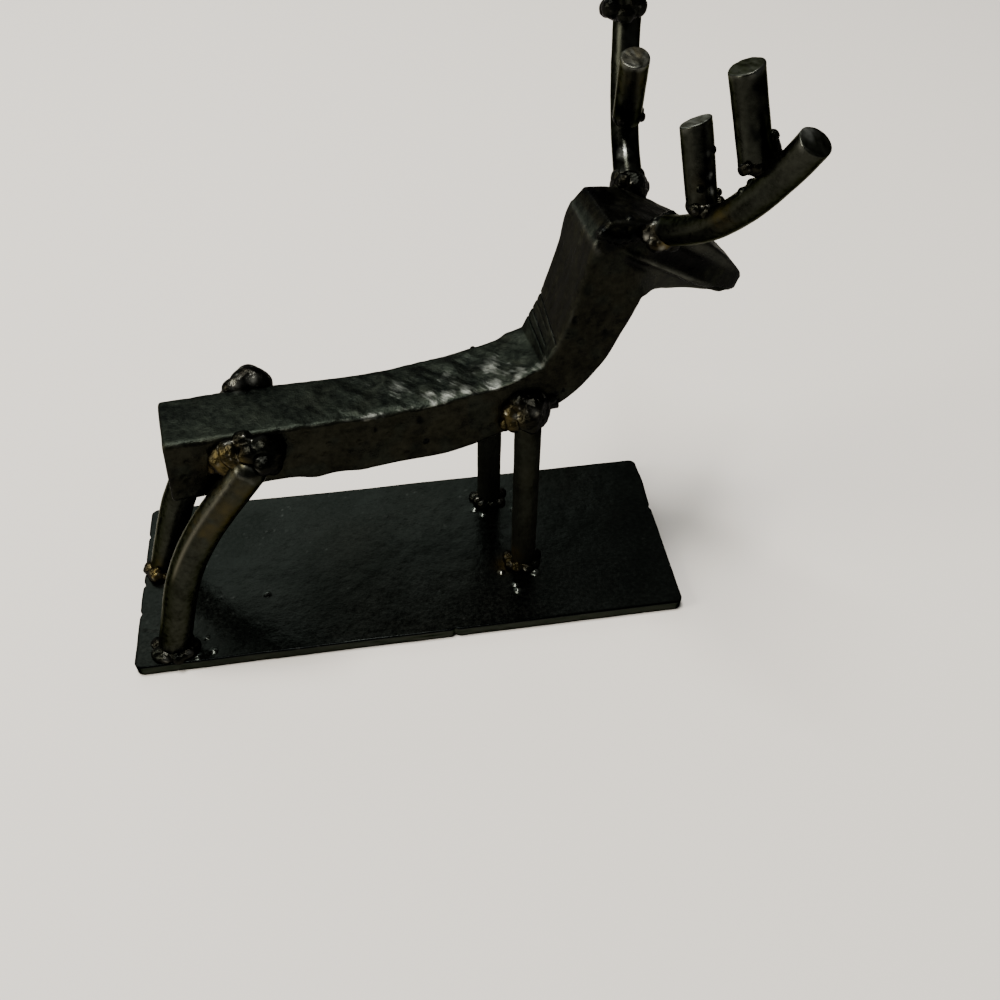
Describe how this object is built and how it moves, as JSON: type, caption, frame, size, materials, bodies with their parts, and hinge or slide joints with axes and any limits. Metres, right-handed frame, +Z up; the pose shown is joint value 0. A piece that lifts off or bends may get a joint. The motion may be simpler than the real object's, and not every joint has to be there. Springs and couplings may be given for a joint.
{
  "type": "stag statue",
  "caption": "Stylised stag of forged square iron bar with round-rod legs and branched antlers, arc-welded to a flat rectangular iron plate that it stands on.",
  "frame": {"origin": "middle of the plate's underside", "axes": "+X along the plate's length, the way the stag looks; +Y across the plate, to the stag's left; +Z up, out of the plate's top"},
  "size_m": [0.1873, 0.1005, 0.1738],
  "materials": {
    "black_iron": "forged square bar, hammered, black oxide under clear wax, satin with worn bright edges",
    "browned_iron": "round rod, heat-browned black, waxed, satin",
    "plate_iron": "flat bar with blue-grey mill scale, fine grain, waxed, semi-gloss",
    "weld_iron": "lumpy black arc-weld metal with slag and spatter, glossy"
  },
  "bodies": {
    "root": {"base_plate": "plate_iron", "body_bar": "black_iron", "near_front_leg": "black_iron", "near_hind_leg": "browned_iron", "far_front_leg": "black_iron", "far_hind_leg": "browned_iron", "near_antler_beam": "browned_iron", "far_antler_beam": "browned_iron", "near_short_tine": "browned_iron", "near_tall_tine": "browned_iron", "far_short_tine": "browned_iron", "far_tall_tine": "browned_iron", "near_front_foot_weld": "weld_iron", "near_front_shoulder_weld": "weld_iron", "near_hind_foot_weld": "weld_iron", "near_hind_shoulder_weld": "weld_iron", "far_front_foot_weld": "weld_iron", "far_front_shoulder_weld": "weld_iron", "far_hind_foot_weld": "weld_iron", "far_hind_shoulder_weld": "weld_iron", "near_antler_root_weld": "weld_iron", "far_antler_root_weld": "weld_iron", "near_short_tine_weld": "weld_iron", "near_tall_tine_weld": "weld_iron", "far_short_tine_weld": "weld_iron", "far_tall_tine_weld": "weld_iron"}
  },
  "joints": []
}
